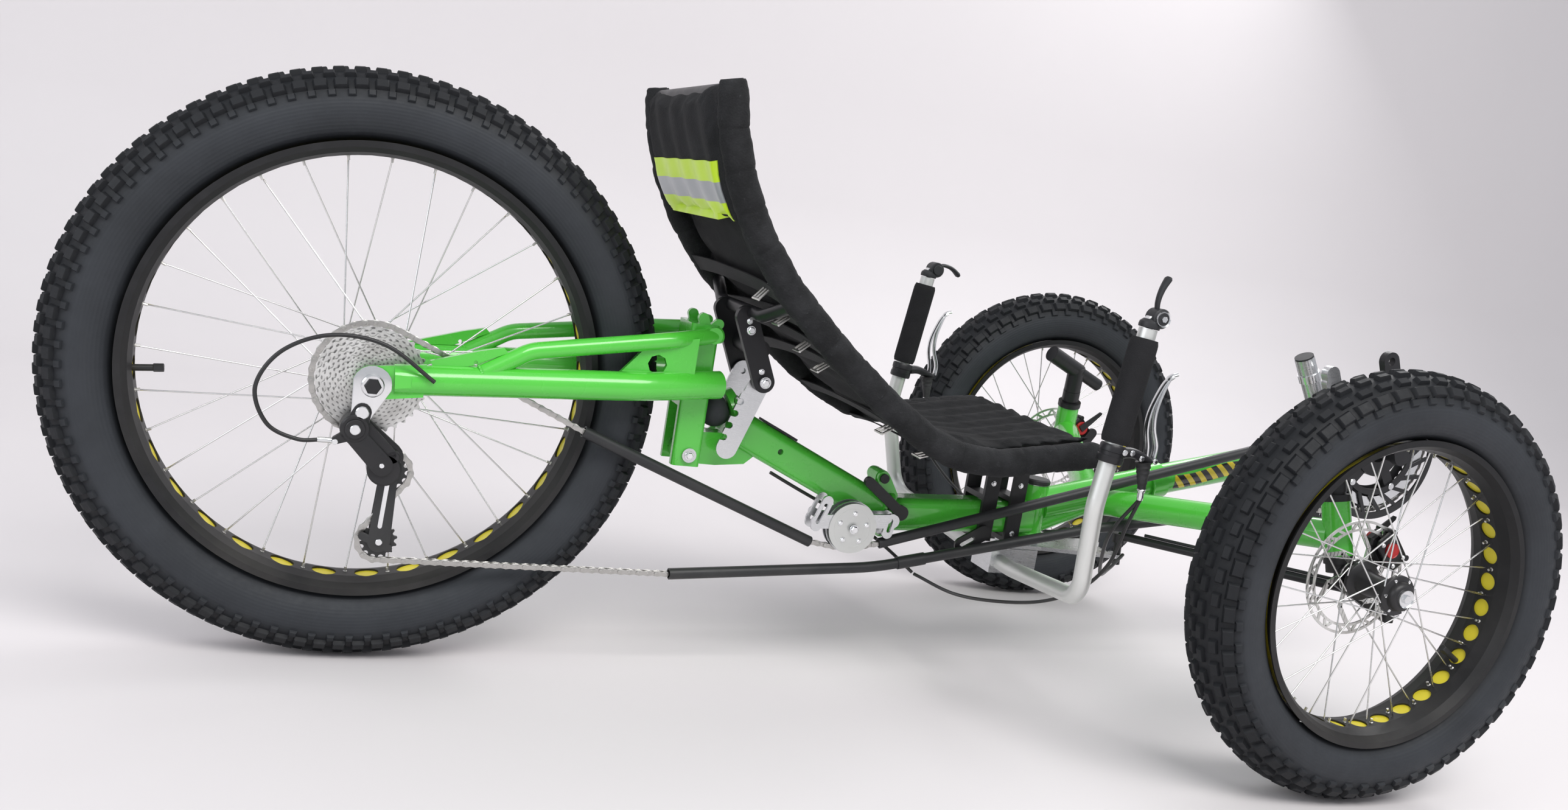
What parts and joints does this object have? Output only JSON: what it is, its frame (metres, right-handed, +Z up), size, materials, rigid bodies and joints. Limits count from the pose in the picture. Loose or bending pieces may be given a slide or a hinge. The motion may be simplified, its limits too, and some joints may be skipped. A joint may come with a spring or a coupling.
{
  "type": "recumbent trike",
  "caption": "Fat-tyred tadpole recumbent trike with under-seat steering, sprung folding frame, sling seat and enclosed chain line.",
  "frame": {"origin": "centre of the footprint on the ground plane, midway along and across the bounding box", "axes": "+X forward, +Y to the rider's left, +Z up"},
  "size_m": [2.09, 0.964, 0.8009],
  "materials": {
    "frame_green": "gloss bright green enamel",
    "black_metal": "satin black",
    "steel": "satin",
    "rubber": "matt black",
    "mesh": "black mesh",
    "chain": "bright",
    "black_plastic": "matt",
    "tyre": "matt blue-black",
    "rim": "matt black",
    "spoke": "bright",
    "red": "gloss red",
    "bar": "matt silver",
    "foam": "matt black foam"
  },
  "bodies": {
    "frame": {"main_tube": "frame_green", "front_frame": "frame_green", "boom": "frame_green", "fold_lever": "black_metal", "swing_arm": "frame_green", "swing_bolts": "steel", "elastomer": "rubber", "seat_frame": "black_metal", "seat_sling": "mesh", "seat_clamp": "black_metal", "recline_plates": "steel", "seat_front_mount": "black_metal", "idler_bracket": "steel", "chain": "chain", "chain_tubes": "black_plastic", "rear_derailleur": "black_metal", "derailleur_cage": "steel", "front_derailleur": "steel", "derailleur_post": "steel", "frame_cables": "rubber"},
    "rear_wheel": {"rear_tyre": "tyre", "rear_rim": "rim", "rear_spokes": "spoke", "rear_hub": "black_metal", "cassette": "steel"},
    "left_wheel": {"left_tyre": "tyre", "left_rim": "rim", "left_spokes": "spoke", "left_hub": "black_metal"},
    "right_wheel": {"right_tyre": "tyre", "right_rim": "rim", "right_spokes": "spoke", "right_hub": "black_metal"},
    "left_knuckle": {"left_knuckle": "black_metal", "left_caliper": "red"},
    "right_knuckle": {"right_knuckle": "black_metal", "right_caliper": "red"},
    "handlebar": {"handlebar": "bar", "grips": "foam", "hand_controls": "black_plastic", "steering_plate": "steel", "bar_cables": "rubber"},
    "left_track_rod": {"left_track_rod": "black_metal"},
    "right_track_rod": {"right_track_rod": "black_metal"},
    "crank": {"chainrings": "black_metal", "crank_arms": "black_metal"},
    "idler": {"idler_wheel": "steel"}
  },
  "joints": [
    {"name": "rear_wheel_spin", "type": "hinge", "parent": "frame", "child": "rear_wheel", "pos_m": [-0.673, 0, 0.372], "axis": [0, 1, 0], "continuous": true},
    {"name": "bar_steer", "type": "hinge", "parent": "frame", "child": "handlebar", "pos_m": [0.325, 0, 0.21], "axis": [0, 0, 1], "range_deg": [-24, 24]},
    {"name": "left_steer", "type": "hinge", "parent": "frame", "child": "left_knuckle", "pos_m": [0.587, 0.3477, 0.349], "axis": [-0.1356, -0.2249, 0.9649], "range_deg": [-31.9, 31.9]},
    {"name": "right_steer", "type": "hinge", "parent": "frame", "child": "right_knuckle", "pos_m": [0.587, -0.3477, 0.349], "axis": [-0.1356, 0.2249, 0.9649], "range_deg": [-31.9, 31.9]},
    {"name": "left_rod_swing", "type": "hinge", "parent": "handlebar", "child": "left_track_rod", "pos_m": [0.471, 0.034, 0.238], "axis": [-0.0732, 0, 0.9973], "range_deg": [-27.1, 27.1]},
    {"name": "right_rod_swing", "type": "hinge", "parent": "handlebar", "child": "right_track_rod", "pos_m": [0.471, -0.034, 0.238], "axis": [-0.0732, 0, 0.9973], "range_deg": [-27.1, 27.1]},
    {"name": "left_wheel_spin", "type": "hinge", "parent": "left_knuckle", "child": "left_wheel", "pos_m": [0.595, 0.432, 0.292], "axis": [0, 1, 0], "continuous": true},
    {"name": "right_wheel_spin", "type": "hinge", "parent": "right_knuckle", "child": "right_wheel", "pos_m": [0.595, -0.432, 0.292], "axis": [0, 1, 0], "continuous": true},
    {"name": "crank_spin", "type": "hinge", "parent": "frame", "child": "crank", "pos_m": [0.927, 0, 0.422], "axis": [0, 1, 0], "continuous": true},
    {"name": "idler_spin", "type": "hinge", "parent": "frame", "child": "idler", "pos_m": [0.001, -0.046, 0.226], "axis": [0, 1, 0], "continuous": true}
  ],
  "couplings": [
    {"joint": "left_steer", "follows": "bar_steer", "ratio": 1.32},
    {"joint": "right_steer", "follows": "bar_steer", "ratio": 1.32},
    {"joint": "left_rod_swing", "follows": "bar_steer", "ratio": -1.117},
    {"joint": "right_rod_swing", "follows": "bar_steer", "ratio": -1.117}
  ]
}
